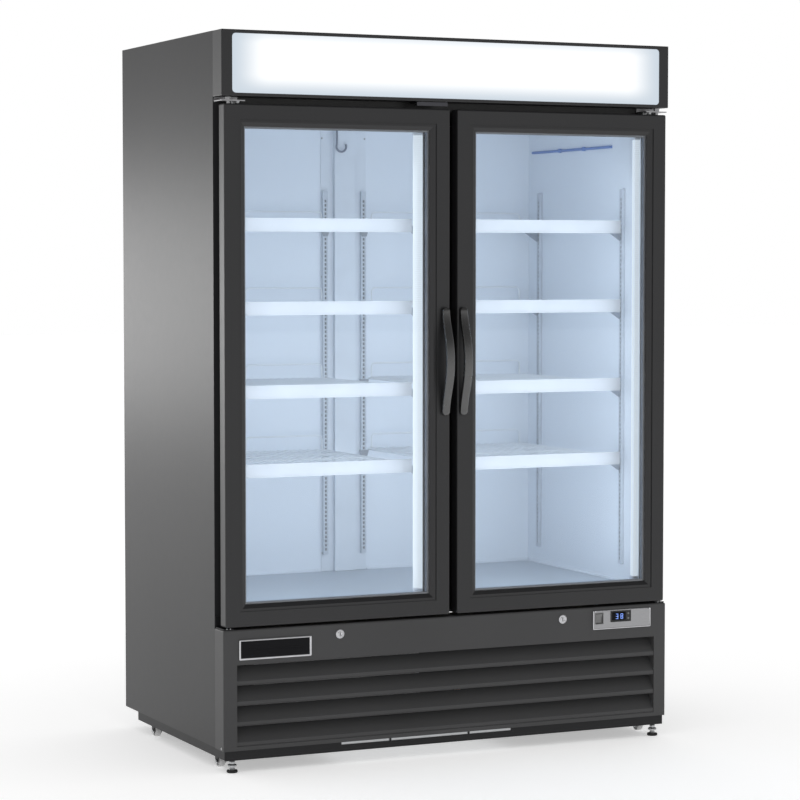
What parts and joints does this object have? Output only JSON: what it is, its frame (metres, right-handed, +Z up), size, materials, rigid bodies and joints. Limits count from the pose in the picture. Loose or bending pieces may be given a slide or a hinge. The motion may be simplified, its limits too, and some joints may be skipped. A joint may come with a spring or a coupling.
{
  "type": "glass door merchandiser",
  "caption": "Tall refrigerated display cabinet with hinged glass doors, lit canopy sign, adjustable shelves, louvred machine compartment, bow handles and levelling feet.",
  "frame": {"origin": "on the floor, below the centre of the bounding box", "axes": "+Z up, +X to the right seen from the front, +Y from the doors towards the back"},
  "size_m": [1.372, 0.844, 1.992],
  "materials": {
    "left_side_panel": "satin",
    "right_side_panel": "satin",
    "rear_panel": "satin",
    "roof_panel": "satin",
    "cabinet_insulation": "matte",
    "interior_liner": "satin",
    "door_mullion": "satin",
    "left_wall_light": "gloss",
    "right_wall_light": "gloss",
    "left_mullion_light": "gloss",
    "right_mullion_light": "gloss",
    "canopy_housing": "satin",
    "sign_panel": "gloss",
    "sign_lamp": "gloss",
    "grille_panel": "satin",
    "control_plate": "satin",
    "temperature_controller": "gloss",
    "left_top_hinge": "satin",
    "left_bottom_hinge": "satin",
    "right_top_hinge": "satin",
    "right_bottom_hinge": "satin",
    "left_front_standard": "satin",
    "left_rear_standard": "satin",
    "right_front_standard": "satin",
    "right_rear_standard": "satin",
    "rear_air_channel": "satin",
    "left_shelf_1": "gloss",
    "left_shelf_2": "gloss",
    "left_shelf_3": "gloss",
    "left_shelf_4": "gloss",
    "right_shelf_1": "gloss",
    "right_shelf_2": "gloss",
    "right_shelf_3": "gloss",
    "right_shelf_4": "gloss",
    "base_pan": "satin",
    "condensate_tray": "satin",
    "left_base_rail": "satin",
    "right_base_rail": "satin",
    "condenser_coil": "satin",
    "compressor": "satin",
    "evaporator_housing": "satin",
    "left_door_frame": "satin",
    "left_door_glass": "gloss",
    "left_door_gasket": "matte",
    "left_door_handle": "satin",
    "left_lock": "polished",
    "left_levelling_foot": "satin",
    "left_front_wheel": "satin",
    "left_rear_wheel": "satin",
    "right_door_frame": "satin",
    "right_door_glass": "gloss",
    "right_door_gasket": "matte",
    "right_door_handle": "satin",
    "right_lock": "polished",
    "right_levelling_foot": "satin",
    "right_front_wheel": "satin",
    "right_rear_wheel": "satin",
    "lamp_switch": "gloss",
    "condenser_fan": "satin",
    "evaporator_fan": "satin"
  },
  "bodies": {
    "cabinet": {"left_side_panel": "left_side_panel", "right_side_panel": "right_side_panel", "rear_panel": "rear_panel", "roof_panel": "roof_panel", "cabinet_insulation": "cabinet_insulation", "interior_liner": "interior_liner", "door_mullion": "door_mullion", "left_wall_light": "left_wall_light", "right_wall_light": "right_wall_light", "left_mullion_light": "left_mullion_light", "right_mullion_light": "right_mullion_light", "canopy_housing": "canopy_housing", "sign_panel": "sign_panel", "sign_lamp": "sign_lamp", "grille_panel": "grille_panel", "control_plate": "control_plate", "temperature_controller": "temperature_controller", "left_top_hinge": "left_top_hinge", "left_bottom_hinge": "left_bottom_hinge", "right_top_hinge": "right_top_hinge", "right_bottom_hinge": "right_bottom_hinge", "left_front_standard": "left_front_standard", "left_rear_standard": "left_rear_standard", "right_front_standard": "right_front_standard", "right_rear_standard": "right_rear_standard", "rear_air_channel": "rear_air_channel", "left_shelf_1": "left_shelf_1", "left_shelf_2": "left_shelf_2", "left_shelf_3": "left_shelf_3", "left_shelf_4": "left_shelf_4", "right_shelf_1": "right_shelf_1", "right_shelf_2": "right_shelf_2", "right_shelf_3": "right_shelf_3", "right_shelf_4": "right_shelf_4", "base_pan": "base_pan", "condensate_tray": "condensate_tray", "left_base_rail": "left_base_rail", "right_base_rail": "right_base_rail", "condenser_coil": "condenser_coil", "compressor": "compressor", "evaporator_housing": "evaporator_housing"},
    "left_door": {"left_door_frame": "left_door_frame", "left_door_glass": "left_door_glass", "left_door_gasket": "left_door_gasket", "left_door_handle": "left_door_handle"},
    "left_lock_cylinder": {"left_lock": "left_lock"},
    "left_foot": {"left_levelling_foot": "left_levelling_foot"},
    "left_front_caster_wheel": {"left_front_wheel": "left_front_wheel"},
    "left_rear_caster_wheel": {"left_rear_wheel": "left_rear_wheel"},
    "right_door": {"right_door_frame": "right_door_frame", "right_door_glass": "right_door_glass", "right_door_gasket": "right_door_gasket", "right_door_handle": "right_door_handle"},
    "right_lock_cylinder": {"right_lock": "right_lock"},
    "right_foot": {"right_levelling_foot": "right_levelling_foot"},
    "right_front_caster_wheel": {"right_front_wheel": "right_front_wheel"},
    "right_rear_caster_wheel": {"right_rear_wheel": "right_rear_wheel"},
    "lamp_switch_rocker": {"lamp_switch": "lamp_switch"},
    "condenser_fan_rotor": {"condenser_fan": "condenser_fan"},
    "evaporator_fan_rotor": {"evaporator_fan": "evaporator_fan"}
  },
  "joints": [
    {"name": "left_door_hinge", "type": "hinge", "parent": "cabinet", "child": "left_door", "pos_m": [-0.659, -0.357, 0.395], "axis": [0, 0, -1], "range_deg": [0, 110]},
    {"name": "left_lock_turn", "type": "hinge", "parent": "cabinet", "child": "left_lock_cylinder", "pos_m": [-0.346, -0.378, 0.36], "axis": [0, -1, 0], "range_deg": [0, 90]},
    {"name": "left_foot_height", "type": "slide", "parent": "cabinet", "child": "left_foot", "axis": [0, 0, 1], "range_m": [-0.012, 0.01]},
    {"name": "left_front_wheel_spin", "type": "hinge", "parent": "cabinet", "child": "left_front_caster_wheel", "pos_m": [-0.656, -0.273, 0.019], "axis": [1, 0, 0], "continuous": true},
    {"name": "left_rear_wheel_spin", "type": "hinge", "parent": "cabinet", "child": "left_rear_caster_wheel", "pos_m": [-0.656, 0.237, 0.018], "axis": [1, 0, 0], "continuous": true},
    {"name": "right_door_hinge", "type": "hinge", "parent": "cabinet", "child": "right_door", "pos_m": [0.659, -0.357, 0.395], "axis": [0, 0, 1], "range_deg": [0, 110]},
    {"name": "right_lock_turn", "type": "hinge", "parent": "cabinet", "child": "right_lock_cylinder", "pos_m": [0.346, -0.378, 0.36], "axis": [0, -1, 0], "range_deg": [0, 90]},
    {"name": "right_foot_height", "type": "slide", "parent": "cabinet", "child": "right_foot", "axis": [0, 0, 1], "range_m": [-0.012, 0.01]},
    {"name": "right_front_wheel_spin", "type": "hinge", "parent": "cabinet", "child": "right_front_caster_wheel", "pos_m": [0.656, -0.273, 0.019], "axis": [1, 0, 0], "continuous": true},
    {"name": "right_rear_wheel_spin", "type": "hinge", "parent": "cabinet", "child": "right_rear_caster_wheel", "pos_m": [0.656, 0.237, 0.018], "axis": [1, 0, 0], "continuous": true},
    {"name": "lamp_switch_rock", "type": "hinge", "parent": "cabinet", "child": "lamp_switch_rocker", "pos_m": [0.4645, -0.3775, 0.355], "axis": [-1, 0, 0], "range_deg": [0, 18]},
    {"name": "condenser_fan_spin", "type": "hinge", "parent": "cabinet", "child": "condenser_fan_rotor", "pos_m": [-0.31, -0.2063, 0.1903], "axis": [0, 1, 0], "continuous": true},
    {"name": "evaporator_fan_spin", "type": "hinge", "parent": "cabinet", "child": "evaporator_fan_rotor", "pos_m": [0, 0.056, 1.806], "axis": [0, 0, 1], "continuous": true}
  ]
}
